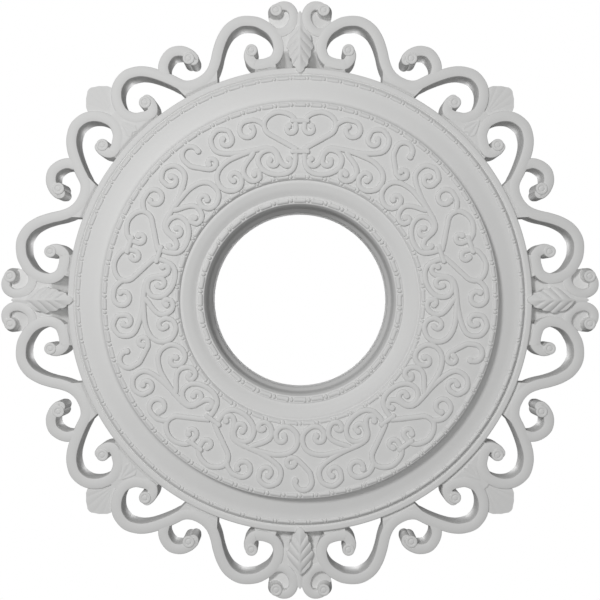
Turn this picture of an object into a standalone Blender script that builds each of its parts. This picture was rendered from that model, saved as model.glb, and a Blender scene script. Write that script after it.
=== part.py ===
"""A pierced ceiling rose cast in one piece, as it hangs: flat back up at z = 0 and carved face down.

The casting is drawn in plan, seen from below, as sheets: outlines that each have a rule for their
height off the back. Where sheets overlap the highest one shows. The drawing is meshed once, raised
to those heights, walled down to the flat back and turned over.
"""
import math

import bmesh
import bpy
import numpy
from mathutils import Vector
from mathutils.geometry import delaunay_2d_cdt

# Overall sizes, in metres
BORDER_RADIUS = 0.2794
RIM_RADIUS = 0.2164
HOLE_RADIUS = 0.0818
PROJECTION = 0.04445

# Heights off the back
TIE_RISE = 0.0024
STROKE_RISE = 0.0020
BORDER_THICKNESS = 0.0240
RIM_THICKNESS = 0.0258
HOLE_WALL = 0.0200
FIELD = PROJECTION - TIE_RISE

# Round mouldings between the hole and the field: each step's width, and its drop below the field
LEDGE = (0.0032, 0.0180)
LIP_WALL = (0.0018, 0.0082)
LIP_ROW = ((0.0038, 0.0042), (0.0046, 0.0052))
INNER_RAMP = ((0.0056, 0.0032), (0.0066, 0.0019))
INNER_STEP = (0.0033, 0.0006)
INNER_ROW = ((0.0018, -0.0010), (0.0026, 0.0))

# Round mouldings between the rim and the field, inward: each step's width, and its rise over the rim or
# its drop below the field
FILLET = (0.0052, 0.0)
RIM_STEP = (0.0026, 0.0026)
RIM_ROW = ((0.0022, 0.0040), (0.0022, 0.0026))
COVE = ((0.0180, 0.0040), (0.0032, 0.0075))
FIELD_STEP = (0.0014, 0.0010)
FIELD_ROW = ((0.0036, -0.0010), (0.0022, 0.0))

# Scrollwork on the field
STROKE_WIDTH = 0.0038
TIE_WIDTH = 0.0046
TIE_LENGTH = 0.0160
STROKE_MARGIN = 0.0013
FIFTHS = 5

# Pierced border
WAVE_WIDTH = 0.0100
BRANCH_WIDTH = 0.0098
CROOK_WIDTH = 0.0086
BOSS_RADIUS = 0.0053
BOSS_RISE = 0.0010
CROOK_BOSS_SKIRT = 0.0026
QUARTERS = 4
PALMETTE_DROP = 0.0020
PALMETTE_FLUTE = 0.0012
BUD_DROP = 0.0
CROOK_FLOORS = (0.0190, 0.0150, 0.0100)
WEB_TOP = 0.0228
WEB_FOOT = 0.0070
LEAF_LENGTH = 0.0430
LEAF_WIDTH = 0.0240
LEAF_SPINE = 0.0080
LEAF_EDGE = 0.0035
LEAF_OVERLAP = 0.0050
LEAF_SWELL = 0.35

# How finely curves are cut
RIM_SIDES = 48
LIP_SIDES = 30
BOSS_SIDES = 7
CURL_STEP = math.radians(10)
SPAN_STEPS = 6
STROKE_SLACK = 0.0020
BAND_SLACK = 0.0011
SHARPEST_LEAN = 0.5
DRAFT = 0.0005
NEAR = 0.00002
EDGE_SLACK = 0.00006

OPEN = None

PLASTER_COLOUR = (0.80, 0.80, 0.79, 1.0)
PLASTER_ROUGHNESS = 0.6


def polar(degrees, radius):
    """A place in plan: degrees clockwise from the top, seen from below."""
    angle = math.radians(degrees)
    return Vector((radius * math.sin(angle), radius * math.cos(angle)))


def turned(points, degrees, mirrored=False):
    """The points turned clockwise about the centre, after a flip across the upright axis."""
    angle = math.radians(degrees)
    side = -1 if mirrored else 1
    across = Vector((math.cos(angle), -math.sin(angle))) * side
    upward = Vector((math.sin(angle), math.cos(angle)))
    return [across * point.x + upward * point.y for point in points]


def circle(radius, sides, centre=(0.0, 0.0)):
    """A regular outline about a centre."""
    return [polar(360 * k / sides, radius) + Vector(centre) for k in range(sides)]


def curl(point, bearing, first, last, turn):
    """A spiral on from a point, its radius changing from first to last; a positive turn is left."""
    turn = math.radians(turn)
    steps = math.ceil(abs(turn) / CURL_STEP)
    points = []
    for k in range(steps):
        share = (2 * k + 1) / (2 * steps)
        radius = first + (last - first) * share
        middle = bearing + turn * share
        point = point + Vector((math.cos(middle), math.sin(middle))) * (radius * abs(turn) / steps)
        points.append(point)
    return points


def through(points):
    """A smooth curve through the points."""
    ends = [points[0] * 2 - points[1], *points, points[-1] * 2 - points[-2]]
    curve = []
    for before, start, end, after in zip(ends, ends[1:], ends[2:], ends[3:]):
        for k in range(SPAN_STEPS):
            t = k / SPAN_STEPS
            curve.append((start * 2 + (end - before) * t + (before * 2 - start * 5 + end * 4 - after) * t ** 2
                          + (start * 3 - before - end * 3 + after) * t ** 3) / 2)
    return curve + [points[-1]]


def heading(start, end):
    return math.atan2(end.y - start.y, end.x - start.x)


def route(body, head, tail, slack):
    """A scroll's centreline: a smooth body that may run on into a curl at its head and its tail."""
    line = through(body)
    if tail:
        line = line + curl(line[-1], heading(line[-2], line[-1]), *tail)
    if head:
        line = curl(line[0], heading(line[1], line[0]), *head)[::-1] + line
    return thinned(line, slack)


def thinned(line, slack):
    """Keeps the points that a line needs to stay within a slack of its true course."""
    kept = [0]
    for end in range(2, len(line)):
        start = line[kept[-1]]
        chord = line[end] - start
        between = line[kept[-1] + 1:end]
        if any(abs(chord.cross(point - start)) > slack * chord.length for point in between):
            kept.append(end - 1)
    return [line[k] for k in kept] + [line[-1]]


def sides(line, half):
    """The two edges of a strip that follows a line."""
    left, right = [], []
    for i, point in enumerate(line):
        before = (point - line[i - 1]).normalized() if i else None
        after = (line[i + 1] - point).normalized() if i + 1 < len(line) else None
        along = ((before or after) + (after or before)).normalized()
        lean = max(along.dot(before or after), SHARPEST_LEAN)
        normal = Vector((-along.y, along.x)) * (half / lean)
        left.append(point + normal)
        right.append(point - normal)
    return left, right


def level(height):
    """A rule for a flat sheet."""
    return lambda point: height


def roof(start, end, half, foot, crest):
    """A rule for a ridge over the line from start to end."""
    along = end - start

    def rule(point):
        share = min(max((point - start).dot(along) / along.length_squared, 0.0), 1.0)
        away = (point - start - along * share).length
        return crest + (foot - crest) * min(away / half, 1.0)
    return rule


def plane(corners, heights):
    """A rule for a sheet that passes through three heights."""
    origin, a, b = corners[0], corners[1] - corners[0], corners[2] - corners[0]
    area = a.cross(b)

    def rule(point):
        offset = point - origin
        u, v = offset.cross(b) / area, a.cross(offset) / area
        return heights[0] + u * (heights[1] - heights[0]) + v * (heights[2] - heights[0])
    return rule


def turned_profile(rings):
    """A rule for a round body: its height goes straight from each ring to the next."""
    def rule(point):
        radius = point.length
        for (inner, low), (outer, high) in zip(rings, rings[1:]):
            if radius <= outer:
                return low + (high - low) * max(radius - inner, 0.0) / (outer - inner)
        return rings[-1][1]
    return rule


class Drawing:
    """The plan: points, lines to cut along, and sheets with their rules."""

    def __init__(self):
        self.points = []
        self.lines = []
        self.sheets = []
        self.rules = []

    def place(self, points):
        first = len(self.points)
        self.points += points
        return list(range(first, len(self.points)))

    def line(self, points, closed=True):
        numbers = self.place(points)
        last = numbers[:1] if closed else []
        self.lines += zip(numbers, numbers[1:] + last)

    def sheet(self, outline, rule):
        area = sum(a.cross(b) for a, b in zip(outline, outline[1:] + outline[:1]))
        numbers = self.place(outline)
        self.sheets.append(numbers if area > 0 else numbers[::-1])
        self.rules.append(rule)

    def strip(self, line, half, height):
        """A flat band along a line."""
        left, right = sides(line, half)
        for i in range(len(line) - 1):
            self.sheet([left[i], left[i + 1], right[i + 1], right[i]], level(height))

    def ridge(self, line, half, foot, rise):
        """A raised line of carving whose tail ends in a point."""
        left, right = sides(line, half)
        for i in range(len(line) - 1):
            rule = roof(line[i], line[i + 1], half, foot, foot + rise)
            self.sheet([left[i], left[i + 1], line[i + 1], line[i]], rule)
            self.sheet([line[i], line[i + 1], right[i + 1], right[i]], rule)
        tip = line[-1] + (line[-1] - line[-2]).normalized() * half
        self.sheet([left[-1], tip, right[-1], line[-1]], roof(line[-1], line[-2], half, foot, foot + rise))


def mouldings():
    """The round body's rings, from the hole to the rim, and the field's two edges."""
    radius = HOLE_RADIUS
    rings = [(radius, HOLE_WALL)]
    for width, drop in (LEDGE, LIP_WALL, *LIP_ROW, *INNER_RAMP, INNER_STEP, *INNER_ROW):
        radius += width
        rings.append((radius, FIELD - drop))
    field_start = radius
    radius = RIM_RADIUS
    outer = [(radius, RIM_THICKNESS)]
    for width, rise in (FILLET, RIM_STEP, *RIM_ROW, *COVE):
        radius -= width
        outer.append((radius, RIM_THICKNESS + rise))
    for width, drop in (FIELD_STEP, *FIELD_ROW):
        radius -= width
        outer.append((radius, FIELD - drop))
    return rings + outer[::-1], field_start, radius


def draw_body(drawing):
    """The round body with its mouldings, and the hole through it."""
    rings, field_start, field_end = mouldings()
    drawing.sheet(circle(RIM_RADIUS + DRAFT, RIM_SIDES), level(BORDER_THICKNESS))
    drawing.sheet(circle(RIM_RADIUS, RIM_SIDES), turned_profile(rings))
    for radius, _ in rings[1:-1]:
        drawing.line(circle(radius, RIM_SIDES if radius > field_end - NEAR else LIP_SIDES))
    drawing.sheet(circle(HOLE_RADIUS, LIP_SIDES), OPEN)
    return field_start + STROKE_MARGIN, field_end - STROKE_MARGIN


# Scrolls of half a fifth of the field, left of the heart: body points as degrees from the heart's
# axis and share of the way across the field, then curls as first and last radius in shares, and turn
HALF_SCROLLS = {
    "heart": (((-1.2, 0.36), (-4.4, 0.45), (-8.3, 0.57), (-11.2, 0.69), (-11.5, 0.83), (-9.6, 0.93),
               (-6.6, 0.97), (-3.4, 0.92), (-1.7, 0.83), (-1.4, 0.71)), None, (0.083, 0.050, -245)),
    "side_scroll": (((-12.7, 0.86), (-14.6, 0.92), (-16.6, 0.93)), None, (0.144, 0.084, 310)),
    "lower_loop": (((-1.8, 0.30), (-1.9, 0.20), (-2.9, 0.08), (-5.6, 0.01), (-9.4, 0.0), (-13.0, 0.04),
                    (-15.7, 0.12), (-16.8, 0.22), (-16.2, 0.34), (-15.4, 0.38)), None, None),
    "inner_curl": (((-9.2, 0.26), (-9.1, 0.22)), None, (0.081, 0.050, -230)),
    "long_scroll": (((-22.8, 0.79), (-23.2, 0.89), (-25.9, 0.96), (-28.7, 0.90), (-29.7, 0.79), (-29.4, 0.68),
                     (-27.7, 0.60), (-24.6, 0.53), (-20.8, 0.48), (-16.9, 0.46), (-13.3, 0.45), (-10.6, 0.42),
                     (-9.1, 0.35), (-8.5, 0.27), (-7.7, 0.18), (-6.8, 0.14)),
                    (0.109, 0.050, -250), (0.069, 0.056, 190)),
    "big_curl": (((-23.5, 0.455), (-27.2, 0.46), (-31.3, 0.42), (-33.9, 0.34), (-35.0, 0.23),
                  (-34.7, 0.12), (-32.8, 0.04), (-30.0, 0.0), (-27.2, 0.03), (-25.8, 0.12), (-26.1, 0.19)),
                 None, (0.084, 0.047, 230)),
    "small_scroll": (((-18.8, 0.385), (-21.2, 0.32), (-23.4, 0.24), (-24.0, 0.15), (-23.0, 0.05),
                      (-20.8, 0.0), (-18.5, 0.02), (-17.8, 0.08)), None, (0.048, 0.038, 200)),
}
SINGLE_SCROLLS = {
    "c_scroll": (((-39.7, 0.82), (-39.2, 0.71), (-37.6, 0.62), (-35.4, 0.52), (-34.5, 0.49), (-33.4, 0.48)),
                 (0.139, 0.125, -205), (0.084, 0.047, 285)),
}
TIE_SHARES = (0.815, 0.335)


def scroll_line(body, head, tail, start, end, slack):
    """A scroll's line in metres, between the radii where its shares start and end."""
    across = end - start
    points = [polar(degrees, start + share * across) for degrees, share in body]
    curls = [shape and (shape[0] * across, shape[1] * across, shape[2]) for shape in (head, tail)]
    return route(points, *curls, slack)


def draw_scrollwork(drawing, start, end):
    """Five hearts with their scrolls, and the ties that bind them."""
    half = STROKE_WIDTH / 2
    halves = [scroll_line(*shape, start, end, STROKE_SLACK) for shape in HALF_SCROLLS.values()]
    singles = [scroll_line(*shape, start, end, STROKE_SLACK) for shape in SINGLE_SCROLLS.values()]
    for fifth in range(FIFTHS):
        axis = 360 / FIFTHS * fifth
        for line in halves:
            for mirrored in (False, True):
                drawing.ridge(turned(line, axis, mirrored), half, FIELD, STROKE_RISE)
        for line in singles:
            drawing.ridge(turned(line, axis), half, FIELD, STROKE_RISE)
        for share in TIE_SHARES:
            radius = start + share * (end - start)
            tie = [Vector((side * (TIE_LENGTH - TIE_WIDTH) / 2, radius)) for side in (-1, 1)]
            drawing.ridge(turned(tie, axis), TIE_WIDTH / 2, FIELD, TIE_RISE)


# The border between a leaf's axis and a palmette's, drawn as the scrolls are, with shares of the way
# from the rim to the outermost curls
WAVE = ((11.6, 0.30), (11.8, 0.244), (11.6, 0.188), (11.1, 0.138), (10.4, 0.115), (8.4, 0.108),
        (6.2, 0.148), (5.05, 0.25), (4.9, 0.37), (5.25, 0.475), (6.05, 0.575), (7.3, 0.66), (9.2, 0.745),
        (12.0, 0.785), (14.55, 0.73), (16.5, 0.613), (18.1, 0.465), (19.5, 0.315), (21.0, 0.205),
        (22.8, 0.14), (24.75, 0.118), (26.8, 0.13), (28.7, 0.195), (30.45, 0.355), (32.3, 0.518),
        (34.0, 0.647), (35.8, 0.734), (38.0, 0.779), (40.5, 0.731), (42.4, 0.597), (43.35, 0.43),
        (43.15, 0.31), (42.2, 0.205), (40.6, 0.14), (39.4, 0.11), (38.2, 0.11), (37.45, 0.16),
        (37.2, 0.235), (37.4, 0.30))
BRANCH = ((31.0, 0.45), (30.4, 0.57), (29.1, 0.655), (27.4, 0.697), (25.6, 0.66), (24.35, 0.575),
          (23.8, 0.49), (23.95, 0.455))
CROOK = ((7.0, 0.63), (6.0, 0.575), (4.6, 0.54), (3.2, 0.555), (2.0, 0.625), (1.35, 0.73), (1.45, 0.84),
         (2.3, 0.92), (3.5, 0.935), (4.7, 0.90))
BAND_BOSSES = ((11.0, 0.334), (38.1, 0.287), (24.75, 0.507))
CROOK_BOSS = (4.7, 0.874)
# The floor inside a crook falls from its first corner to its fifth
CROOK_HOLLOW = ((2.0, 0.84), (2.2, 0.64), (3.8, 0.585), (5.8, 0.62), (6.4, 0.71), (6.3, 0.80), (4.7, 0.90))
# Each half of a leaf: share of its length along the spine, then the lobe's or notch's place along it
# and share of its half width, and its share of the edge's rise
LEAF_LOBES = ((0.04, 0.25, 0.95, 1.0), (0.04, 0.34, 0.88, 0.5), (0.26, 0.46, 1.0, 1.0),
              (0.26, 0.57, 0.84, 0.5), (0.46, 0.67, 0.86, 1.0), (0.46, 0.76, 0.68, 0.5),
              (0.64, 0.85, 0.56, 1.0), (0.64, 0.90, 0.36, 0.5))
PALMETTE_ROOT = (45.0, 0.49)
PALMETTE_EDGE = ((41.6, 0.69), (42.1, 0.87), (43.7, 0.97), (45.0, 1.0))
BUD_ROOT = (45.0, 0.32)
BUD_EDGE = ((43.2, 0.12), (43.9, 0.05), (45.0, 0.07))
# Where the bands run into the rim
JOINTS = (((5.6, -0.01), (6.2, 0.12), (10.6, 0.10), (11.5, -0.01)),
          ((20.1, -0.01), (18.75, 0.2), (30.1, 0.19), (29.2, -0.01)),
          ((37.4, -0.01), (37.9, 0.12), (43.0, 0.40), (45.0, 0.47), (45.0, -0.01)))
# The web beside a leaf: where it leaves the rim, where it reaches its full height, and its top
WEB_CORNERS = ((6.4, 0.0), (5.0, 0.33), (0.0, 0.85))


def border_place(degrees, share):
    return polar(degrees, RIM_RADIUS + share * (BORDER_RADIUS - RIM_RADIUS))


def border_places(places, quarter, mirrored):
    return turned([border_place(*place) for place in places], quarter, mirrored)


def draw_bands(drawing, quarter):
    """The scrolling bands of a quarter, their joints with the rim, and a boss at the end of each curl."""
    face = level(BORDER_THICKNESS)
    button = level(BORDER_THICKNESS + BOSS_RISE)
    for mirrored in (False, True):
        for body, width, round_ends in ((WAVE, WAVE_WIDTH, (0, -1)), (BRANCH, BRANCH_WIDTH, (-1,)),
                                        (CROOK, CROOK_WIDTH, ())):
            line = thinned(through(border_places(body, quarter, mirrored)), BAND_SLACK)
            drawing.strip(line, width / 2, BORDER_THICKNESS)
            for end in round_ends:
                drawing.sheet(circle(width / 2, BOSS_SIDES, line[end]), face)
        for centre in border_places((*BAND_BOSSES, CROOK_BOSS), quarter, mirrored):
            drawing.sheet(circle(BOSS_RADIUS, BOSS_SIDES, centre), button)
        for joint in JOINTS:
            drawing.sheet(border_places(joint, quarter, mirrored), face)


def draw_hollows(drawing, quarter):
    """The low floors that web the bands together round a leaf and inside the crooks."""
    rim = RIM_RADIUS
    knee = rim + WEB_CORNERS[1][1] * (BORDER_RADIUS - rim)

    def web(point):
        return WEB_FOOT + (WEB_TOP - WEB_FOOT) * min(max((point.length - rim) / (knee - rim), 0.0), 1.0)
    foot, side, top = WEB_CORNERS
    for mirrored in (False, True):
        drawing.sheet(border_places((foot, side, (0.0, side[1]), (0.0, 0.0)), quarter, mirrored), web)
        drawing.sheet(border_places((side, top, (0.0, side[1])), quarter, mirrored), web)
        hollow = border_places(CROOK_HOLLOW, quarter, mirrored)
        drawing.sheet(hollow, plane((hollow[0], hollow[2], hollow[4]), CROOK_FLOORS))
        centre = border_places((CROOK_BOSS,), quarter, mirrored)[0]
        drawing.sheet(circle(BOSS_RADIUS + CROOK_BOSS_SKIRT, BOSS_SIDES, centre), level(CROOK_FLOORS[-1]))


def draw_leaf(drawing, quarter):
    """A leaf that hangs from between the crooks to the rim, with lobes that droop from its spine."""
    tip = RIM_RADIUS - LEAF_OVERLAP
    top = tip + LEAF_LENGTH

    def place(share, side):
        return Vector((side * LEAF_WIDTH / 2, top - share * LEAF_LENGTH))
    for mirrored in (False, True):
        spine_at, edge_at, edge_height = 0.0, place(0.0, 0.0), BORDER_THICKNESS + LEAF_EDGE / 2
        spine_height = edge_height
        outline = [edge_at]
        for spine_share, share, side, rise in (*LEAF_LOBES, (1.0, 1.0, 0.0, 0.5)):
            corner = place(share, side)
            height = BORDER_THICKNESS + LEAF_EDGE * rise
            if spine_at < spine_share < 1.0:
                swell = BORDER_THICKNESS + LEAF_SPINE * math.sin(math.pi * (LEAF_SWELL + spine_share / 2))
                corners = [place(spine_at, 0.0), place(spine_share, 0.0), edge_at]
                triangle(drawing, corners, (spine_height, swell, edge_height), quarter, mirrored)
                spine_at, spine_height = spine_share, swell
            corners = [place(spine_at, 0.0), corner, edge_at]
            triangle(drawing, corners, (spine_height, height, edge_height), quarter, mirrored)
            edge_at, edge_height = corner, height
            outline.append(corner)


def triangle(drawing, corners, heights, quarter, mirrored):
    placed = turned(corners, quarter, mirrored)
    area = abs((placed[1] - placed[0]).cross(placed[2] - placed[0]))
    if area > NEAR ** 2:
        drawing.sheet(placed, plane(placed, heights))


def draw_palmette(drawing, quarter):
    """A fluted shell at each corner where two waves meet, and the bud below it."""
    for root, places, drop in ((PALMETTE_ROOT, PALMETTE_EDGE, PALMETTE_DROP),
                               (BUD_ROOT, BUD_EDGE, BUD_DROP)):
        edge = [border_place(*place) for place in places]
        ridge = BORDER_THICKNESS - drop
        heights = [ridge - PALMETTE_FLUTE * ((k + 1) % 2) for k in range(len(edge))]
        for k in range(len(edge) - 1):
            for mirrored in (False, True):
                corners = [border_place(*root), edge[k], edge[k + 1]]
                triangle(drawing, corners, (ridge, heights[k], heights[k + 1]), quarter, mirrored)


def depths(outline, centres):
    """How far inside a convex outline each centre lies."""
    least = numpy.full(len(centres), numpy.inf)
    for start, end in zip(outline, outline[1:] + outline[:1]):
        if (end - start).length > NEAR:
            along = (end - start).normalized()
            away = along.x * (centres[:, 1] - start.y) - along.y * (centres[:, 0] - start.x)
            least = numpy.minimum(least, away)
    return least


def meshed(drawing):
    """The solid: the drawing's triangles at their heights, walls, and the flat back."""
    points, _, faces, _, _, sources = delaunay_2d_cdt(
        drawing.points, drawing.lines, drawing.sheets, 0, NEAR)
    centres = numpy.array([sum((points[corner] for corner in face), Vector((0, 0))) / len(face)
                           for face in faces])
    covers = [set() for _ in faces]
    for number, sheet in enumerate(drawing.sheets):
        inside = depths([drawing.points[corner] for corner in sheet], centres)
        for face in numpy.flatnonzero(inside > -EDGE_SLACK):
            if inside[face] > EDGE_SLACK or number in sources[face]:
                covers[face].add(number)
    rules = [set() for _ in points]
    kept = []
    for face, sheets in zip(faces, covers):
        if sheets and all(drawing.rules[sheet] for sheet in sheets):
            kept.append(face)
            for corner in face:
                rules[corner].update(sheets)
    shape = bmesh.new()
    corners = {}
    for face in kept:
        for number in face:
            if number not in corners:
                height = max(drawing.rules[sheet](points[number]) for sheet in rules[number])
                corners[number] = shape.verts.new((*points[number], height))
        shape.faces.new([corners[number] for number in face])
    rim = [edge for edge in shape.edges if edge.is_boundary]
    walls = bmesh.ops.extrude_edge_only(shape, edges=rim)["geom"]
    for vert in walls:
        if isinstance(vert, bmesh.types.BMVert):
            vert.co.z = 0.0
    back = [edge for edge in walls if isinstance(edge, bmesh.types.BMEdge) and edge.is_boundary]
    bmesh.ops.triangle_fill(shape, use_beauty=True, edges=back)
    bmesh.ops.recalc_face_normals(shape, faces=shape.faces)
    mesh = bpy.data.meshes.new("ceiling_rose")
    shape.to_mesh(mesh)
    shape.free()
    return mesh


def plaster():
    """The rose's primed white finish."""
    material = bpy.data.materials.new("primed_white")
    material.use_nodes = True
    shader = material.node_tree.nodes["Principled BSDF"]
    shader.inputs["Base Color"].default_value = PLASTER_COLOUR
    shader.inputs["Roughness"].default_value = PLASTER_ROUGHNESS
    shader.inputs["Metallic"].default_value = 0.0
    return material


for old in list(bpy.data.objects):
    bpy.data.objects.remove(old, do_unlink=True)

plan = Drawing()
scrolls_start, scrolls_end = draw_body(plan)
draw_scrollwork(plan, scrolls_start, scrolls_end)
for corner in range(QUARTERS):
    bearing = 360 / QUARTERS * corner
    draw_hollows(plan, bearing)
    draw_bands(plan, bearing)
    draw_leaf(plan, bearing)
    draw_palmette(plan, bearing)

rose = bpy.data.objects.new("ceiling_rose", meshed(plan))
rose.data.materials.append(plaster())
rose.rotation_euler = (math.pi, 0.0, 0.0)
bpy.context.scene.collection.objects.link(rose)
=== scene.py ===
import math

import bmesh
import bpy
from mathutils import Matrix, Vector
from mathutils.geometry import delaunay_2d_cdt


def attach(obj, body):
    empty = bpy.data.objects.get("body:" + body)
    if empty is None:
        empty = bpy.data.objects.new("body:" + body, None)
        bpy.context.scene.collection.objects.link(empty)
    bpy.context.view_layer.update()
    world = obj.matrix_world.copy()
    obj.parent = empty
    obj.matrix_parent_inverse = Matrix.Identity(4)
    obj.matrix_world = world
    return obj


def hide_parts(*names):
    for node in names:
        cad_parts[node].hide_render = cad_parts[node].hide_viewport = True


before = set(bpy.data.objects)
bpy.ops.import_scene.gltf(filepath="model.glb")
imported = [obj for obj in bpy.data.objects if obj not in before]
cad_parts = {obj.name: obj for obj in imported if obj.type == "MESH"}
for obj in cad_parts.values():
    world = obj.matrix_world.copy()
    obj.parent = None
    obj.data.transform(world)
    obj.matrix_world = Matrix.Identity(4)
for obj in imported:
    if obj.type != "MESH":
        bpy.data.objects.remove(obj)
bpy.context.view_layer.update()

# The round body
# One turned ring with a hole for the lamp's canopy: ledge, lip, swell, flat field, cove and the fillet at
# the rim. It is moulded rigid foam, flat at the back, and carries one even coat of matt white primer.
RIM_RADIUS = 0.2164
FIELD_HEIGHT = 0.04205
RING_SIDES = 288
CORNER_STEPS = 4
MILLIMETRE = 0.001
# Radius, height off the back and how much the corner is eased, in millimetres
RING_PROFILE = (
    (81.8, 0.0, 0.0), (82.0, 17.5, 1.0), (85.1, 22.8, 1.6), (86.4, 32.0, 1.4), (88.4, 36.6, 1.0),
    (94.6, 36.9, 0.5), (95.4, 36.3, 0.4), (96.6, 36.9, 0.6), (101.0, 38.9, 2.0), (107.4, 40.2, 1.0),
    (109.6, 39.7, 0.3), (110.6, 41.6, 0.4), (116.2, 41.8, 0.6), (117.4, 42.05, 0.5), (173.0, 42.05, 0.5),
    (175.6, 41.9, 0.6), (180.8, 41.9, 0.8), (181.6, 41.2, 0.4), (183.1, 32.8, 1.2), (185.2, 30.3, 1.8),
    (190.0, 29.5, 2.4), (199.0, 28.3, 3.0), (203.4, 28.4, 0.5), (207.6, 28.3, 0.8), (210.2, 24.6, 0.5),
    (210.8, 25.6, 0.3), (211.6, 26.0, 0.4), (215.6, 26.0, 0.9), (216.4, 25.2, 0.6), (216.4, 0.0, 0.0))
PRIMER_WHITE = (0.80, 0.80, 0.795, 1.0)
PRIMER_SHADE = (0.765, 0.765, 0.76, 1.0)
# Scale, detail and roughness of the mottle and of the dry grain
PRIMER_MOTTLE = (26.0, 4.0, 0.6)
PRIMER_GRAIN = (1500.0, 2.0, 0.5)
MOTTLE_SHARE = 0.75
PRIMER_ROUGHNESS = (0.50, 0.62)
GRAIN_DEPTH = 0.00003
GRAIN_STRENGTH = 0.5
PRIMER_SPECULAR = 0.35
SHARPEST_SMOOTH = math.radians(40)
ONE_PLACE = 0.000001


class Amount:
    """A number that a graph works out at each place, written as a sum."""

    def __init__(self, graph, socket):
        self.graph = graph
        self.socket = socket

    def sum_of(self, operation, first, second):
        return self.graph.node("ShaderNodeMath", {"operation": operation}, {0: first, 1: second})["Value"]

    def __add__(self, other):
        return self.sum_of("ADD", self, other)

    def __mul__(self, other):
        return self.sum_of("MULTIPLY", self, other)

    __radd__ = __add__
    __rmul__ = __mul__


class Step:
    """One node of a graph, whose results are read by name or number."""

    def __init__(self, graph, node):
        self.graph = graph
        self.node = node

    def __getitem__(self, name):
        return Amount(self.graph, self.node.outputs[name])


class Graph:
    """Builds the nodes of a material, a world or a modifier."""

    def __init__(self, tree):
        self.tree = tree

    def node(self, kind, settings=None, values=None):
        made = self.tree.nodes.new(kind)
        for name, setting in (settings or {}).items():
            setattr(made, name, setting)
        for name, value in (values or {}).items():
            for one in value if isinstance(value, list) else [value]:
                if isinstance(one, Amount):
                    self.tree.links.new(one.socket, made.inputs[name])
                else:
                    made.inputs[name].default_value = one
        return Step(self, made)


def noise(graph, place, scale, detail, roughness):
    return graph.node("ShaderNodeTexNoise", None, {
        "Vector": place, "Scale": scale, "Detail": detail, "Roughness": roughness})["Fac"]


def matt_primer():
    """Matt white primer with a faint mottle and a fine dry grain."""
    material = bpy.data.materials.new("matt_white_primer")
    material.use_nodes = True
    material.node_tree.nodes.clear()
    graph = Graph(material.node_tree)
    place = graph.node("ShaderNodeTexCoord")["Object"]
    mottle = noise(graph, place, *PRIMER_MOTTLE)
    grain = noise(graph, place, *PRIMER_GRAIN)
    patchy = mottle * MOTTLE_SHARE + grain * (1 - MOTTLE_SHARE)
    colour = graph.node("ShaderNodeMix", {"data_type": "RGBA"},
                        {"Factor": patchy, 6: PRIMER_SHADE, 7: PRIMER_WHITE})[2]
    low, high = PRIMER_ROUGHNESS
    bump = graph.node("ShaderNodeBump", None,
                      {"Height": grain, "Distance": GRAIN_DEPTH, "Strength": GRAIN_STRENGTH})["Normal"]
    shader = graph.node("ShaderNodeBsdfPrincipled", None, {
        "Base Color": colour, "Roughness": mottle * (high - low) + low,
        "Specular IOR Level": PRIMER_SPECULAR, "Normal": bump})["BSDF"]
    graph.node("ShaderNodeOutputMaterial", None, {"Surface": shader})
    return material


primer = matt_primer()


def finished(name, mesh):
    """Cleans a piece's mesh, primes it and makes it part of the casting."""
    shape = bmesh.new()
    shape.from_mesh(mesh)
    bmesh.ops.recalc_face_normals(shape, faces=shape.faces)
    for face in shape.faces:
        face.smooth = True
    for edge in shape.edges:
        edge.smooth = edge.calc_face_angle(math.pi) < SHARPEST_SMOOTH
    shape.to_mesh(mesh)
    shape.free()
    mesh.name = name
    mesh.materials.clear()
    mesh.materials.append(primer)
    piece = bpy.data.objects.new(name, mesh)
    bpy.context.scene.collection.objects.link(piece)
    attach(piece, "root")
    return piece


def rounded(corners):
    """A profile in metres whose corners, in millimetres, are each eased by their own amount."""
    line = []
    for i, (radius, height, ease) in enumerate(corners):
        here = Vector((radius, height))
        if not ease:
            line.append(here * MILLIMETRE)
            continue
        before, after = (Vector(corners[k][:2]) - here for k in (i - 1, i + 1))
        start = here + before.normalized() * min(ease, before.length / 2)
        end = here + after.normalized() * min(ease, after.length / 2)
        for k in range(CORNER_STEPS + 1):
            t = k / CORNER_STEPS
            line.append((start * (1 - t) ** 2 + here * (2 * t * (1 - t)) + end * t ** 2) * MILLIMETRE)
    return line


def turned(profile, sides):
    """A closed body turned from a profile of radii and heights off the back."""
    shape = bmesh.new()
    rings = []
    for k in range(sides):
        east, north = math.sin(2 * math.pi * k / sides), math.cos(2 * math.pi * k / sides)
        rings.append([shape.verts.new((p.x * east, p.x * north, -p.y)) for p in profile])
    for ring, after in zip(rings, rings[1:] + rings[:1]):
        for i in range(len(profile)):
            j = (i + 1) % len(profile)
            shape.faces.new((ring[i], ring[j], after[j], after[i]))
    bmesh.ops.remove_doubles(shape, verts=shape.verts, dist=ONE_PLACE)
    bmesh.ops.delete(shape, geom=[edge for edge in shape.edges if edge.is_wire], context="EDGES")
    mesh = bpy.data.meshes.new("turned")
    shape.to_mesh(mesh)
    shape.free()
    return mesh


round_body = finished("round_body", turned(rounded(RING_PROFILE), RING_SIDES))
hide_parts("ceiling_rose")

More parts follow.
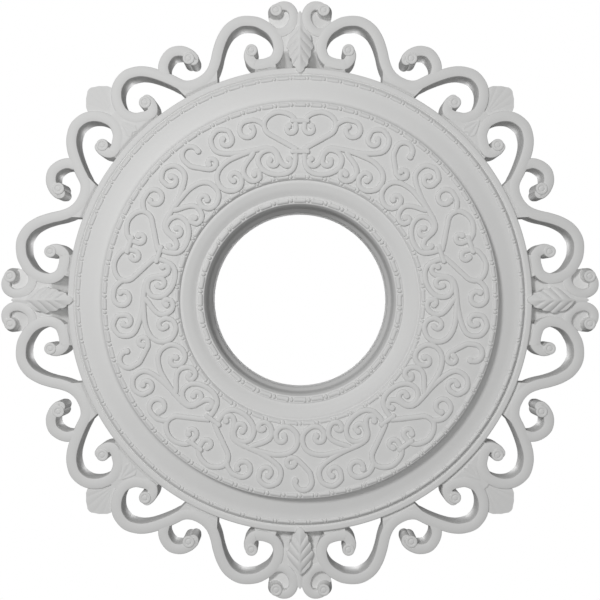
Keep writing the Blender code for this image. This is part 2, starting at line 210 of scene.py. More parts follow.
# The bead rows
# Four rows of bead and reel: one long reel and two small beads, over and over, on the lip and along both
# edges of the field and the cove's foot. They are cast with the body, half sunk into it.
# Radius, height off the back, repeats, half width and rise
BEAD_ROWS = {
    "bead_row_rim": (0.2058, 0.0282, 84, 0.00170, 0.0013),
    "bead_row_field": (0.1782, 0.0418, 75, 0.00200, 0.0014),
    "bead_row_inner": (0.1126, 0.0415, 45, 0.00190, 0.0013),
    "bead_row_lip": (0.0915, 0.0368, 36, 0.00215, 0.0014),
}
REEL_SHARE = 0.60
BEAD_SHARE = 0.85
REEL_SIDES = 12
BEAD_SEGMENTS, BEAD_RINGS = 10, 6
# The length of a reel's round end, and how much wider and higher a bead is, as shares of the row's half
# width and rise
REEL_END = 0.45
BEAD_WIDTH = 1.05
BEAD_HEIGHT = 1.1
# How far the two beads lie past the reel's end, in half widths of the row and half lengths of a bead
BEAD_PLACES = ((0.6, 1.0), (0.7, 3.1))


def started(name, numbers, shapes=()):
    """A node group with a geometry input, the named numbers and shapes and a finish, and one result."""
    tree = bpy.data.node_groups.new(name, "GeometryNodeTree")
    sockets = [("Geometry", "Geometry"), *((number, "Float") for number in numbers),
               *((shape, "Object") for shape in shapes), ("Finish", "Material")]
    for socket, kind in sockets:
        tree.interface.new_socket(socket, in_out="INPUT", socket_type="NodeSocket" + kind)
    tree.interface.new_socket("Geometry", in_out="OUTPUT", socket_type="NodeSocketGeometry")
    graph = Graph(tree)
    return graph, graph.node("NodeGroupInput")


def ended(graph, geometry, entry):
    """Makes real mesh of what the group made, and finishes it."""
    real = graph.node("GeometryNodeRealizeInstances", None, {"Geometry": geometry})["Geometry"]
    done = graph.node("GeometryNodeSetMaterial", None, {"Geometry": real, "Material": entry["Finish"]})
    graph.node("NodeGroupOutput", None, {"Geometry": done["Geometry"]})
    return graph.tree


def vector(graph, x=0.0, y=0.0, z=0.0):
    return graph.node("ShaderNodeCombineXYZ", None, {"X": x, "Y": y, "Z": z})["Vector"]


def attribute(graph, name):
    return graph.node("GeometryNodeInputNamedAttribute", {"data_type": "FLOAT"},
                      {"Name": name})["Attribute"]


def grown(tree, mesh, values):
    """The plain mesh that a node group makes from a mesh and values for its inputs."""
    carrier = bpy.data.objects.new("carrier", mesh)
    bpy.context.scene.collection.objects.link(carrier)
    modifier = carrier.modifiers.new("grown", "NODES")
    modifier.node_group = tree
    for item in tree.interface.items_tree:
        if item.in_out == "INPUT" and item.name in values:
            modifier[item.identifier] = values[item.name]
    evaluated = carrier.evaluated_get(bpy.context.evaluated_depsgraph_get())
    result = bpy.data.meshes.new_from_object(evaluated)
    carrier.modifiers.clear()
    bpy.data.objects.remove(carrier)
    return result


def bead_and_reel():
    """Node group: at each point of a ring, one reel along the ring and two beads beside it."""
    graph, entry = started("bead_and_reel", ("Reel length", "Bead length", "Half width", "Rise"))
    wide, rise = entry["Half width"], entry["Rise"]
    reel_half = entry["Reel length"] * 0.5
    bead_half = entry["Bead length"] * 0.5
    ball = graph.node("GeometryNodeMeshUVSphere", None, {
        "Segments": BEAD_SEGMENTS, "Rings": BEAD_RINGS, "Radius": 1.0})["Mesh"]
    rod = graph.node("GeometryNodeMeshCylinder", None,
                     {"Vertices": REEL_SIDES, "Side Segments": 1, "Radius": 1.0, "Depth": 2.0})["Mesh"]
    lying = graph.node("GeometryNodeTransform", None,
                       {"Geometry": rod, "Rotation": (0.0, math.pi / 2, 0.0)})
    parts = [graph.node("GeometryNodeTransform", None, {
        "Geometry": lying["Geometry"], "Scale": vector(graph, reel_half, wide, rise)})["Geometry"]]
    end_size = vector(graph, wide * REEL_END, wide, rise)
    bead_size = vector(graph, bead_half, wide * BEAD_WIDTH, rise * BEAD_HEIGHT)
    balls = [(end_size, reel_half * -1.0), (end_size, reel_half)]
    balls += [(bead_size, reel_half + wide * gap + bead_half * lengths) for gap, lengths in BEAD_PLACES]
    for size, away in balls:
        parts.append(graph.node("GeometryNodeTransform", None, {
            "Geometry": ball, "Translation": vector(graph, away), "Scale": size})["Geometry"])
    unit = graph.node("GeometryNodeJoinGeometry", None, {"Geometry": parts})["Geometry"]
    row = graph.node("GeometryNodeInstanceOnPoints", None, {
        "Points": entry["Geometry"], "Instance": unit,
        "Rotation": vector(graph, 0.0, 0.0, attribute(graph, "turn"))})["Instances"]
    return ended(graph, row, entry)


bead_group = bead_and_reel()
for row_name, (radius, height, repeats, half_width, rise) in BEAD_ROWS.items():
    turns = [2 * math.pi * k / repeats for k in range(repeats)]
    points = bpy.data.meshes.new("row_points")
    points.from_pydata([(radius * math.sin(a), -radius * math.cos(a), -height) for a in turns], [], [])
    points.attributes.new("turn", "FLOAT", "POINT").data.foreach_set("value", turns)
    pitch = 2 * math.pi * radius / repeats
    finished(row_name, grown(bead_group, points, {
        "Reel length": pitch * REEL_SHARE, "Bead length": half_width * 2 * BEAD_SHARE,
        "Half width": half_width, "Rise": rise, "Finish": primer}))

# The scroll relief
# Low strokes with eased edges stand on the field: five hearts with their scrolls, mirrored in pairs, and
# one single scroll between each two hearts. They are cast with the field, and each curl ends in a small
# round eye.
STROKE_HALF = 0.00240
STROKE_RISE = 0.0019
STROKE_SINK = 0.0008
STROKE_EASE = 0.0014
STROKE_END_SIDES = 16
# Eased edge of an eye, how far it stands over its stroke, and where round ends start, in millimetres
EYE_EASE = 0.9
EYE_PROUD = 0.01
END_FOOT = 0.1
EASE_FACETS = 2
# Crossing strokes stand at slightly different levels, so that their faces never coincide
STROKE_LEVELS = 13
LEVEL_STEP = 0.00001
# How much wider an eye is than its stroke
EYE = 1.2
# Radii between which the scrolls' shares are measured
FIELD_INNER = 0.1159
FIELD_OUTER = 0.1743
FIFTHS = 5
SPAN_STEPS = 8
CURL_STEP = math.radians(8)
# Body points as degrees from the heart's axis and share of the way across the field, then the curls
# at head and tail as first and last radius in shares, and turn in degrees, positive to the left
HALF_SCROLLS = (
    (((-1.2, .36), (-4.4, .45), (-8.3, .57), (-11.2, .69), (-11.5, .83), (-9.6, .93), (-6.6, .97),
      (-3.4, .92), (-1.7, .83), (-1.4, .71)), None, (.083, .050, -245)),
    (((-11.6, .80), (-12.9, .87), (-14.6, .92), (-16.6, .93)), None, (.144, .084, 310)),
    (((-1.8, .30), (-1.9, .20), (-2.9, .08), (-5.6, .01), (-9.4, 0), (-13.0, .04), (-15.7, .12),
      (-16.8, .22), (-16.3, .33), (-14.0, .40), (-11.0, .40), (-9.3, .32), (-9.1, .23)), None,
     (.081, .050, -230)),
    (((-22.8, .79), (-23.2, .89), (-25.9, .96), (-28.7, .90), (-29.7, .79), (-29.4, .68), (-27.7, .60),
      (-24.6, .53), (-20.8, .48), (-16.9, .46), (-13.3, .45), (-10.6, .42), (-9.1, .35), (-8.5, .27),
      (-7.7, .18), (-6.8, .14)), (.109, .050, -250), (.069, .056, 190)),
    (((-19.0, .46), (-22.5, .46), (-27.2, .46), (-31.3, .42), (-33.9, .34), (-35, .23), (-34.7, .12),
      (-32.8, .04), (-30, 0), (-27.2, .03), (-25.8, .12), (-26.1, .19)), None, (.084, .047, 230)),
    (((-17.3, .44), (-18.6, .39), (-21.2, .32), (-23.4, .24), (-24, .15), (-23, .05), (-20.8, 0),
      (-18.5, .02), (-17.8, .08)), None, (.048, .038, 200)),
)
SINGLE_SCROLL = (((-39.7, .82), (-39.2, .71), (-37.6, .62), (-35.4, .52), (-34.5, .49), (-33.4, .48)),
                 (.139, .125, -205), (.084, .047, 285))


def polar(degrees, radius):
    """A place on the drawing: degrees clockwise from the top of the face, as seen from below."""
    angle = math.radians(degrees)
    return Vector((radius * math.sin(angle), -radius * math.cos(angle)))


def heading(start, end):
    return math.atan2(end.y - start.y, end.x - start.x)


def curl(point, bearing, first, last, turn):
    """A spiral on from a point; a positive turn is left as seen from below."""
    turn = -math.radians(turn)
    steps = math.ceil(abs(turn) / CURL_STEP)
    points = []
    for k in range(steps):
        share = (k + 0.5) / steps
        radius = first + (last - first) * share
        middle = bearing + turn * share
        point = point + Vector((math.cos(middle), math.sin(middle))) * (radius * abs(turn) / steps)
        points.append(point)
    return points


def through(points):
    """A smooth curve through the points."""
    ends = [points[0] * 2 - points[1], *points, points[-1] * 2 - points[-2]]
    curve = []
    for before, start, end, after in zip(ends, ends[1:], ends[2:], ends[3:]):
        for k in range(SPAN_STEPS):
            t = k / SPAN_STEPS
            curve.append((start * 2 + (end - before) * t
                          + (before * 2 - start * 5 + end * 4 - after) * t ** 2
                          + (start * 3 - before - end * 3 + after) * t ** 3) / 2)
    return curve + [points[-1]]


def scroll(body, head, tail):
    """A scroll's centreline on the field, and which of its ends are curled."""
    across = FIELD_OUTER - FIELD_INNER
    line = through([polar(degrees, FIELD_INNER + share * across) for degrees, share in body])
    line = line + curl(line[-1], heading(line[-2], line[-1]), tail[0] * across, tail[1] * across, tail[2])
    if head:
        start = curl(line[0], heading(line[1], line[0]), head[0] * across, head[1] * across, head[2])
        line = start[::-1] + line
    return line, (bool(head), True)


def spun(points, degrees, mirrored=False):
    """The points turned clockwise as seen from below, after a flip across the upright axis."""
    angle = math.radians(degrees)
    side = -1 if mirrored else 1
    return [Vector((side * p.x * math.cos(angle) - p.y * math.sin(angle),
                    side * p.x * math.sin(angle) + p.y * math.cos(angle))) for p in points]


def wires(lines, height, levels=1):
    """A mesh of open lines from a height off the back up, with a mark on each end that gets a cap."""
    verts, edges, marks = [], [], []
    for number, (line, (head, tail)) in enumerate(lines):
        first = len(verts)
        lift = number % levels * LEVEL_STEP
        verts += [(p.x, p.y, -height - lift) for p in line]
        edges += [(k, k + 1) for k in range(first, len(verts) - 1)]
        marks += [float(head)] + [0.0] * (len(line) - 2) + [float(tail)]
    mesh = bpy.data.meshes.new("wires")
    mesh.from_pydata(verts, edges, [])
    mesh.attributes.new("capped", "FLOAT", "POINT").data.foreach_set("value", marks)
    return mesh


def caps_on(graph, entry, chosen):
    """The cap on each chosen point."""
    cap = graph.node("GeometryNodeObjectInfo", None,
                     {"Object": entry["Cap"], "As Instance": True})["Geometry"]
    return graph.node("GeometryNodeInstanceOnPoints", None, {
        "Points": entry["Geometry"], "Selection": chosen, "Instance": cap})["Instances"]


def swept(graph, entry, profile):
    """The profile swept along the lines, with the cap on each marked end."""
    path = graph.node("GeometryNodeMeshToCurve", None, {"Mesh": entry["Geometry"]})["Curve"]
    level = graph.node("GeometryNodeSetCurveNormal", {"mode": "Z_UP"}, {"Curve": path})["Curve"]
    bar = graph.node("GeometryNodeCurveToMesh", None,
                     {"Curve": level, "Profile Curve": profile, "Fill Caps": True})["Mesh"]
    marked = graph.node("ShaderNodeMath", {"operation": "GREATER_THAN"},
                        {0: attribute(graph, "capped"), 1: 0.5})
    caps = caps_on(graph, entry, marked["Value"])
    both = graph.node("GeometryNodeJoinGeometry", None, {"Geometry": [bar, caps]})["Geometry"]
    return ended(graph, both, entry)


def eased_band():
    """Node group: a flat band with eased edges along each line, from the points' height to its face."""
    graph, entry = started("eased_band", ("Half width", "Thickness", "Ease"), ("Cap",))
    block = graph.node("GeometryNodeCurvePrimitiveQuadrilateral", None,
                       {"Width": entry["Half width"] * 2.0, "Height": entry["Thickness"]})["Curve"]
    eased = graph.node("GeometryNodeFilletCurve", {"mode": "POLY"}, {
        "Curve": block, "Count": EASE_FACETS, "Radius": entry["Ease"], "Limit Radius": True})["Curve"]
    section = graph.node("GeometryNodeTransform", None, {
        "Geometry": eased, "Translation": vector(graph, 0.0, entry["Thickness"] * 0.5)})["Geometry"]
    return swept(graph, entry, section)


def with_caps(tree, mesh, profile, sides, values):
    """What a group makes from a mesh, with caps turned from a profile."""
    cap = bpy.data.objects.new("cap", turned(profile, sides))
    bpy.context.scene.collection.objects.link(cap)
    made = grown(tree, mesh, {**values, "Cap": cap, "Finish": primer})
    bpy.data.objects.remove(cap)
    return made


def round_end(radius, height, ease):
    """The profile of a round end, from sizes in millimetres."""
    return rounded(((0.0, height, 0.0), (radius, height, ease),
                    (radius, END_FOOT, 0.0), (0.0, END_FOOT, 0.0)))


def strokes(name, lines, half, rise, eye):
    """Low strokes along lines on the field, whose round ends are so much wider than the stroke."""
    thickness = rise + STROKE_SINK
    end = round_end(half * eye / MILLIMETRE, thickness / MILLIMETRE + EYE_PROUD, EYE_EASE)
    finished(name, with_caps(
        band_group, wires(lines, FIELD_HEIGHT - STROKE_SINK, STROKE_LEVELS), end, STROKE_END_SIDES,
        {"Half width": half, "Thickness": thickness, "Ease": STROKE_EASE}))


band_group = eased_band()
scroll_lines = []
for fifth in range(FIFTHS):
    axis = 360 / FIFTHS * fifth
    for shape in HALF_SCROLLS:
        line, ends = scroll(*shape)
        scroll_lines += [(spun(line, axis, mirrored), ends) for mirrored in (False, True)]
    line, ends = scroll(*SINGLE_SCROLL)
    scroll_lines.append((spun(line, axis), ends))
strokes("scroll_relief", scroll_lines, STROKE_HALF, STROKE_RISE, EYE)

# The ties
# A short rounded bar lies over the two strokes of each heart, at its top and at its foot, as if it bound
# them together. It is cast with them and stands a little prouder.
TIE_SHARES = (0.815, 0.335)
TIE_HALF_LENGTH = 0.0090
TIE_HALF = 0.0023
TIE_RISE = 0.00225
tie_lines = []
for fifth in range(FIFTHS):
    for share in TIE_SHARES:
        radius = FIELD_INNER + share * (FIELD_OUTER - FIELD_INNER)
        reach = TIE_HALF_LENGTH - TIE_HALF
        bar = [Vector((side * reach, -radius)) for side in (-1, 0, 1)]
        tie_lines.append((spun(bar, 360 / FIFTHS * fifth), (True, True)))
strokes("heart_ties", tie_lines, TIE_HALF, TIE_RISE, 1.0)

# The border's bands
# Scrolling bands run right round the rim: in each eighth one long wave that curls in at both ends, a
# branch that leaves it and a crook beside the leaf. They are moulded with the body, with eased edges.
BORDER_RADIUS = 0.2794
BORDER_THICKNESS = 0.0240
QUARTERS = 4
# Degrees from the leaf's axis and share of the way from the rim to the outermost curls
WAVE = ((11.6, .30), (11.8, .244), (11.6, .188), (11.1, .138), (10.4, .115), (8.4, .108), (6.2, .148),
        (5.05, .25), (4.9, .37), (5.25, .475), (6.05, .575), (7.3, .66), (9.2, .745), (12.0, .785),
        (14.55, .73), (16.5, .613), (18.1, .465), (19.5, .315), (21.0, .205), (22.8, .14), (24.75, .118),
        (26.8, .13), (28.7, .195), (30.45, .355), (32.3, .518), (34.0, .647), (35.8, .734), (38.0, .779),
        (40.5, .731), (42.4, .597), (43.35, .43), (43.15, .31), (42.2, .205), (40.6, .14), (39.4, .11),
        (38.2, .11), (37.45, .16), (37.2, .235), (37.4, .30))
BRANCH = ((31.0, .45), (30.4, .57), (29.1, .655), (27.4, .697), (25.6, .66), (24.35, .575), (23.8, .49),
          (23.95, .455))
CROOK = ((7.0, .63), (6.0, .575), (4.6, .54), (3.2, .555), (2.0, .625), (1.35, .73), (1.45, .84),
         (2.3, .92), (3.5, .935), (4.7, .90))
# Each band's route, half width, how far its face and back are sunk, and which of its ends are round
BANDS = {
    "border_waves": (WAVE, 0.0050, 0.0, (True, True)),
    "border_branches": (BRANCH, 0.0049, 0.0001, (False, True)),
    "border_crooks": (CROOK, 0.0043, 0.0002, (False, False)),
}
BAND_EASE = 0.0015
BAND_END_SIDES = 24
# Eased edge of a round end, in millimetres, and how far such an end stays inside its band
BAND_END_EASE = 1.0
SLIGHT = 0.0001


def border_place(degrees, share):
    return polar(degrees, RIM_RADIUS + share * (BORDER_RADIUS - RIM_RADIUS))


def all_round(places):
    """The border's places in all four quarters, each once as drawn and once mirrored."""
    line = [border_place(*place) for place in places]
    return [spun(line, 360 / QUARTERS * quarter, mirrored)
            for quarter in range(QUARTERS) for mirrored in (False, True)]


for band_name, (route, half_width, sunk, round_ends) in BANDS.items():
    thickness = BORDER_THICKNESS - 2 * sunk
    end = round_end((half_width - SLIGHT) / MILLIMETRE, (thickness - SLIGHT) / MILLIMETRE, BAND_END_EASE)
    lines = [(through(line), round_ends) for line in all_round(route)]
    finished(band_name, with_caps(band_group, wires(lines, sunk), end, BAND_END_SIDES, {
        "Half width": half_width, "Thickness": thickness, "Ease": BAND_EASE}))

# The bosses
# A round button closes each curl of the border. It is moulded with the band, a column right down to the
# back, with a raised edge, a ring cut into its face and a small dome in the middle.
# Degrees and shares as in the bands' routes; the last is the crook's
BOSS_PLACES = ((11.0, .334), (38.1, .287), (24.75, .507), (4.7, .874))
# Radius, height off the back and rounding, in millimetres
BOSS_PROFILE = ((0.0, 25.0, 0.0), (1.8, 24.95, 0.6), (2.7, 24.3, 0.4), (3.3, 24.85, 0.5), (4.6, 24.9, 0.6),
                (5.5, 24.6, 0.5), (5.8, 23.0, 0.4), (5.8, 0.3, 0.0), (0.0, 0.3, 0.0))
BOSS_SIDES = 32


def on_points():
    """Node group: the cap on every point."""
    graph, entry = started("on_points", (), ("Cap",))
    return ended(graph, caps_on(graph, entry, True), entry)


boss_points = bpy.data.meshes.new("boss_points")
boss_points.from_pydata([(*place, 0.0) for line in all_round(BOSS_PLACES) for place in line], [], [])
finished("border_bosses", with_caps(on_points(), boss_points, rounded(BOSS_PROFILE), BOSS_SIDES, {}))

# The floors of the border
# Low webs tie the bands together: one that falls towards the rim beside each leaf and rises to a small
# ridge between the crooks, a dished floor inside each crook, and short joints against the rim.
CROOK_HOLLOW = ((2.0, .84), (2.2, .64), (3.8, .585), (5.8, .62), (6.4, .71), (6.3, .80), (4.7, .90))
# Height off the back of a crook's floor at its first corner and at its fifth
CROOK_FLOORS = (0.0208, 0.0155)
# A skirt falls from the boss of each crook to its floor between these distances from the boss's middle
SKIRT_RADII = (0.0052, 0.0079)
SKIRT_SIDES = 30
# A leaf's web is this high between the crooks and at the rim, and full height from this share outwards
WEB_TOP = 0.0228
WEB_FOOT = 0.0070
WEB_KNEE = 0.26
WEB_CORNERS = ((6.4, 0.0), (5.0, .33), (4.9, .50), (0.0, .85), (-4.9, .50), (-5.0, .33), (-6.4, 0.0),
               (0.0, -.01))
# Rise and half width
WEB_RIDGE = (0.0011, 0.0048)
JOINTS = (((5.6, -0.01), (6.2, 0.12), (10.6, 0.10), (11.5, -0.01)),
          ((20.9, -0.01), (19.8, 0.20), (30.1, 0.19), (29.2, -0.01)),
          ((37.4, -0.01), (37.9, 0.10), (40.6, 0.15), (42.4, 0.22), (43.3, 0.46), (45.0, 0.482),
           (45.0, -0.01)))
# How far a joint lies below the bands' face, and the share and depth of its groove along the rim
JOINT_DROP = 0.0003
JOINT_GROOVE = (0.045, 0.0030)
FLOOR_PITCH = 0.0008
# How far each floor's back is sunk, so that no two backs coincide
JOINT_BACK = 0.0004
WEB_BACK = 0.0005
HOLLOW_BACK = 0.0006
SKIRT_BACK = 0.0007
# Share of the pitch within which two points of a carved face count as one
NEAR_SHARE = 0.125


def carved(outline, pitch, height, back):
    """A closed solid over an outline, whose face follows a rule for the height off the back."""
    points = []
    for start, end in zip(outline, outline[1:] + outline[:1]):
        pieces = max(1, math.ceil((end - start).length / pitch))
        points += [start.lerp(end, k / pieces) for k in range(pieces)]
    edge = list(range(len(points)))
    area = sum(a.cross(b) for a, b in zip(points, points[1:] + points[:1]))
    lows = [min(p[i] for p in outline) for i in (0, 1)]
    counts = [math.ceil((max(p[i] for p in outline) - lows[i]) / pitch) for i in (0, 1)]
    points += [Vector((lows[0] + (i + 0.5) * pitch, lows[1] + (j + 0.5) * pitch))
               for i in range(counts[0]) for j in range(counts[1])]
    places, _, faces, _, _, sources = delaunay_2d_cdt(
        points, [], [edge if area > 0 else edge[::-1]], 0, pitch * NEAR_SHARE)
    shape = bmesh.new()
    corners = {}
    for face, source in zip(faces, sources):
        if source:
            for k in face:
                if k not in corners:
                    corners[k] = shape.verts.new((*places[k], -height(places[k])))
            shape.faces.new([corners[k] for k in face])
    wall = bmesh.ops.extrude_edge_only(shape, edges=[e for e in shape.edges if e.is_boundary])["geom"]
    for vert in wall:
        if isinstance(vert, bmesh.types.BMVert):
            vert.co.z = -back
    foot = [e for e in wall if isinstance(e, bmesh.types.BMEdge) and e.is_boundary]
    bmesh.ops.triangle_fill(shape, use_beauty=True, edges=foot)
    mesh = bpy.data.meshes.new("carved")
    shape.to_mesh(mesh)
    shape.free()
    return mesh


def repeated(meshes, mirrors=(False, True), start=0.0):
    """One mesh of the given ones in all four quarters, turned on by a start angle."""
    shape = bmesh.new()
    for mesh in meshes:
        flat = [Vector(vert.co[:2]) for vert in mesh.vertices]
        for quarter in range(QUARTERS):
            for mirrored in mirrors:
                copy = mesh.copy()
                places = spun(flat, start + 360 / QUARTERS * quarter, mirrored)
                for vert, place in zip(copy.vertices, places):
                    vert.co[:2] = place
                shape.from_mesh(copy)
    joined = bpy.data.meshes.new("joined")
    shape.to_mesh(joined)
    shape.free()
    return joined


def border_share(point):
    return (point.length - RIM_RADIUS) / (BORDER_RADIUS - RIM_RADIUS)


def between(low, high, value):
    """How far a value is from low to high, kept from 0 to 1."""
    return min(max((value - low) / (high - low), 0.0), 1.0)


def web_height(point):
    rise, half = WEB_RIDGE
    ridge = rise * (1 - between(0.0, half, abs(point.x)))
    return WEB_FOOT + (WEB_TOP - WEB_FOOT) * between(0.0, WEB_KNEE, border_share(point)) + ridge


def joint_height(point):
    width, depth = JOINT_GROOVE
    return BORDER_THICKNESS - JOINT_DROP - depth * (1 - between(0.0, width, border_share(point)))


def hollow_height(point):
    start, end = hollow_outline[0], hollow_outline[4]
    along = between(0.0, 1.0, (point - start).dot(end - start) / (end - start).length_squared)
    return CROOK_FLOORS[0] + (CROOK_FLOORS[1] - CROOK_FLOORS[0]) * along


def skirt_height(point):
    away = between(*SKIRT_RADII, (point - boss_middle).length)
    return BORDER_THICKNESS - JOINT_DROP - (BORDER_THICKNESS - CROOK_FLOORS[1]) * away


hollow_outline = [border_place(*place) for place in CROOK_HOLLOW]
boss_middle = border_place(*BOSS_PLACES[-1])
skirt_outline = [boss_middle + polar(360 * k / SKIRT_SIDES, SKIRT_RADII[1]) for k in range(SKIRT_SIDES)]
web_outline = [border_place(*place) for place in WEB_CORNERS]
finished("leaf_webs", repeated([carved(web_outline, FLOOR_PITCH, web_height, WEB_BACK)], (False,)))
finished("crook_hollows", repeated([carved(hollow_outline, FLOOR_PITCH, hollow_height, HOLLOW_BACK),
                                    carved(skirt_outline, FLOOR_PITCH, skirt_height, SKIRT_BACK)]))
finished("rim_joints", repeated([
    carved([border_place(*place) for place in joint], FLOOR_PITCH, joint_height, JOINT_BACK)
    for joint in JOINTS]))

# The leaves
# A leaf hangs down each axis from between the crooks to the rim, where its tip laps over the fillet. It is
# carved: it swells along its spine, and its long leaflets sweep down from the spine in soft folds.
LEAF_LENGTH = 0.0440
LEAF_HALF = 0.0128
LEAF_TIP = RIM_RADIUS - 0.0052
# Rise over the bands at the edge and along the spine, and depth of the folds
LEAF_RISES = (0.0018, 0.0070)
LEAF_FOLD = 0.0011
LEAF_BACK = 0.0008
# Where along the leaf its swell would start and end, and how full its folds and its sides are
LEAF_SWELL = (-0.24, 1.16)
FOLD_FULLNESS = 2.5
SIDE_FULLNESS = 1.5
# Share of the half width over which the folds fade out at the spine
SPINE_SHARE = 0.2
# Where the valleys between the leaflets leave the spine, and how far down they have come at the edge
LEAF_VALLEYS = ((-0.40, 0.30), (0.05, 0.32), (0.27, 0.26), (0.44, 0.34), (0.62, 0.42), (1.40, 0.0))
# One side of the leaf: share of its half width and of its length from the top
LEAF_OUTLINE = ((0.0, 0.0), (.36, .07), (.70, .17), (.80, .25), (.82, .32), (.94, .40), (.95, .46),
                (.80, .53), (.81, .60), (.76, .66), (.61, .715), (.60, .78), (.51, .85), (.34, .88),
                (.29, .93), (.14, .98), (0.0, 1.0))
LEAF_PITCH = 0.0005


def leaf_height(point):
    """Height of the leaf at the top of the face."""
    across = abs(point.x) / LEAF_HALF
    down = (LEAF_TIP + LEAF_LENGTH + point.y) / LEAF_LENGTH
    valleys = [start + sweep * across for start, sweep in LEAF_VALLEYS]
    fold = 0.0
    for low, high in zip(valleys, valleys[1:]):
        if low <= down < high:
            fold = 1 - abs(2 * (down - low) / (high - low) - 1) ** FOLD_FULLNESS
    along = math.sin(math.pi * between(*LEAF_SWELL, down))
    edge, spine = LEAF_RISES
    return (BORDER_THICKNESS + edge + (spine - edge) * along * max(1 - across ** SIDE_FULLNESS, 0.0)
            + LEAF_FOLD * (fold - 1) * min(across / SPINE_SHARE, 1.0))


def both_sides(side):
    return side + [Vector((-p.x, p.y)) for p in side[-2:0:-1]]


leaf_side = [Vector((across * LEAF_HALF, -(LEAF_TIP + LEAF_LENGTH * (1 - down))))
             for across, down in LEAF_OUTLINE]
finished("leaves", repeated([carved(both_sides(leaf_side), LEAF_PITCH, leaf_height, LEAF_BACK)], (False,)))

# The palmettes
# A fluted shell closes the border at each corner, between the two waves that meet there, and a small bud
# sits below it where the waves run into the rim. Both are carved low, and moulded with the bands.
# The shell's and the bud's flutes start at their roots; each face lies so far below the bands' face
SHELL_ROOT = 0.2455
SHELL_DROP = 0.0020
SHELL_FLUTE = 0.00022
SHELL_FLUTES = 2.5
SHELL_SPREAD = math.radians(38)
# One side: distance from the axis and from the rose's centre, in millimetres
SHELL_OUTLINE = ((0.0, 279.1), (2.6, 278.6), (4.9, 276.9), (8.4, 274.6), (11.8, 271.2), (14.0, 269.0),
                 (15.8, 265.4), (15.0, 259.0), (8.0, 250.0), (0.0, 245.0))
BUD_ROOT = 0.2370
BUD_DROP = -0.0004
BUD_FLUTE = 0.0004
BUD_FLUTES = 1.0
BUD_SPREAD = math.radians(26)
BUD_OUTLINE = ((0.0, 221.4), (2.6, 219.4), (5.0, 220.8), (6.5, 224.0), (5.4, 227.8), (0.0, 237.5))
PALMETTE_AXIS = 45.0
PALMETTE_BACK = 0.0009
# How far from its root a flute reaches its full depth
FLUTE_RUN = 0.008


def fluted(root, facing, drop, depth, flutes, spread):
    """A rule for flutes that fan out from a root on the upright axis."""
    def height(point):
        away = facing * (-point.y - root)
        lean = math.atan2(abs(point.x), max(away, SLIGHT)) / spread
        ridge = abs(math.cos(math.pi * lean * flutes))
        return BORDER_THICKNESS - drop - depth * (1 - ridge) * between(0.0, FLUTE_RUN, away)
    return height


shell = carved(both_sides([Vector((x, -y)) * MILLIMETRE for x, y in SHELL_OUTLINE]), LEAF_PITCH,
               fluted(SHELL_ROOT, 1, SHELL_DROP, SHELL_FLUTE, SHELL_FLUTES, SHELL_SPREAD), PALMETTE_BACK)
bud = carved(both_sides([Vector((x, -y)) * MILLIMETRE for x, y in BUD_OUTLINE]), LEAF_PITCH,
             fluted(BUD_ROOT, -1, BUD_DROP, BUD_FLUTE, BUD_FLUTES, BUD_SPREAD), PALMETTE_BACK)
finished("palmettes", repeated([shell, bud], (False,), PALMETTE_AXIS))

# The studio
# A pale floor far below and a white room all round. A soft key light stands to the upper left of the
# face, a weak one fills from the other side, and a small one above lights the back. The camera looks
# straight up at the rose from under its middle.
FLOOR_DEPTH = 2.4
FLOOR_HALF = 6.0
FLOOR_COLOUR = (0.82, 0.82, 0.81, 1.0)
FLOOR_ROUGHNESS = 0.8
CAMERA_DISTANCE = 0.845
CAMERA_LENS = 52.8
ROOM_WHITE = (1.0, 1.0, 1.0, 1.0)
ROOM_LIGHT = 0.10
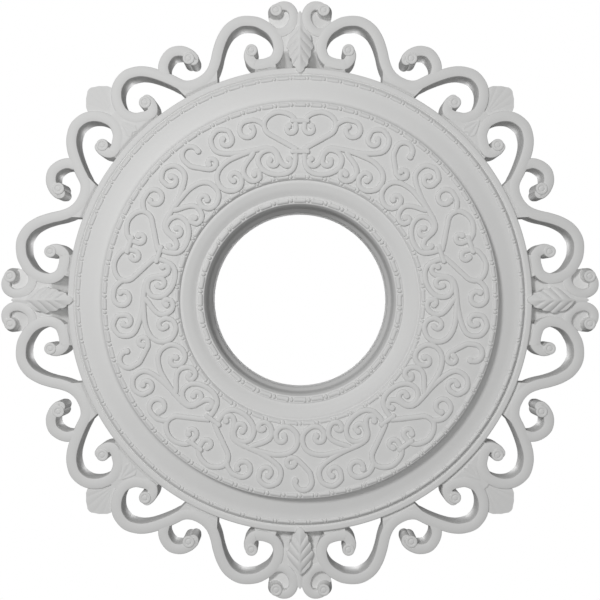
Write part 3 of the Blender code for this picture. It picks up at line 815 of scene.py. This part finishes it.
# Place, diameter and power
LIGHTS = {"key": ((-0.82, -0.82, -1.85), 0.4, 20.5), "fill": ((0.1, 0.1, -2.1), 1.2, 9.4),
          "above": ((0.0, 0.0, 2.4), 0.6, 16.0)}

floor_mesh = bpy.data.meshes.new("floor")
floor_mesh.from_pydata([(x * FLOOR_HALF, y * FLOOR_HALF, -FLOOR_DEPTH)
                        for x, y in ((-1, -1), (1, -1), (1, 1), (-1, 1))], [], [(0, 1, 2, 3)])
floor = bpy.data.objects.new("floor", floor_mesh)
bpy.context.scene.collection.objects.link(floor)
floor_finish = bpy.data.materials.new("pale_floor")
floor_finish.use_nodes = True
floor_shader = floor_finish.node_tree.nodes["Principled BSDF"]
floor_shader.inputs["Base Color"].default_value = FLOOR_COLOUR
floor_shader.inputs["Roughness"].default_value = FLOOR_ROUGHNESS
floor_mesh.materials.append(floor_finish)

for light_name, (place, diameter, power) in LIGHTS.items():
    lamp = bpy.data.lights.new(light_name, "AREA")
    lamp.shape = "DISK"
    lamp.size = diameter
    lamp.energy = power
    light = bpy.data.objects.new(light_name, lamp)
    light.location = place
    light.rotation_euler = (-Vector(place)).to_track_quat("-Z", "Y").to_euler()
    bpy.context.scene.collection.objects.link(light)

world = bpy.data.worlds.new("studio")
world.use_nodes = True
world.node_tree.nodes.clear()
room = Graph(world.node_tree)
seen = room.node("ShaderNodeLightPath")["Is Camera Ray"]
lit = room.node("ShaderNodeBackground", None, {"Color": ROOM_WHITE, "Strength": ROOM_LIGHT})["Background"]
shown = room.node("ShaderNodeBackground", None, {"Color": ROOM_WHITE, "Strength": 1.0})["Background"]
mixed = room.node("ShaderNodeMixShader", None, {0: seen, 1: lit, 2: shown})["Shader"]
room.node("ShaderNodeOutputWorld", None, {"Surface": mixed})
bpy.context.scene.world = world

lens = bpy.data.cameras.new("camera")
lens.lens = CAMERA_LENS
camera = bpy.data.objects.new("camera", lens)
camera.location = (0.0, 0.0, -CAMERA_DISTANCE)
camera.rotation_euler = (math.pi, 0.0, 0.0)
bpy.context.scene.collection.objects.link(camera)
bpy.context.scene.camera = camera
bpy.context.scene.view_settings.view_transform = "Standard"
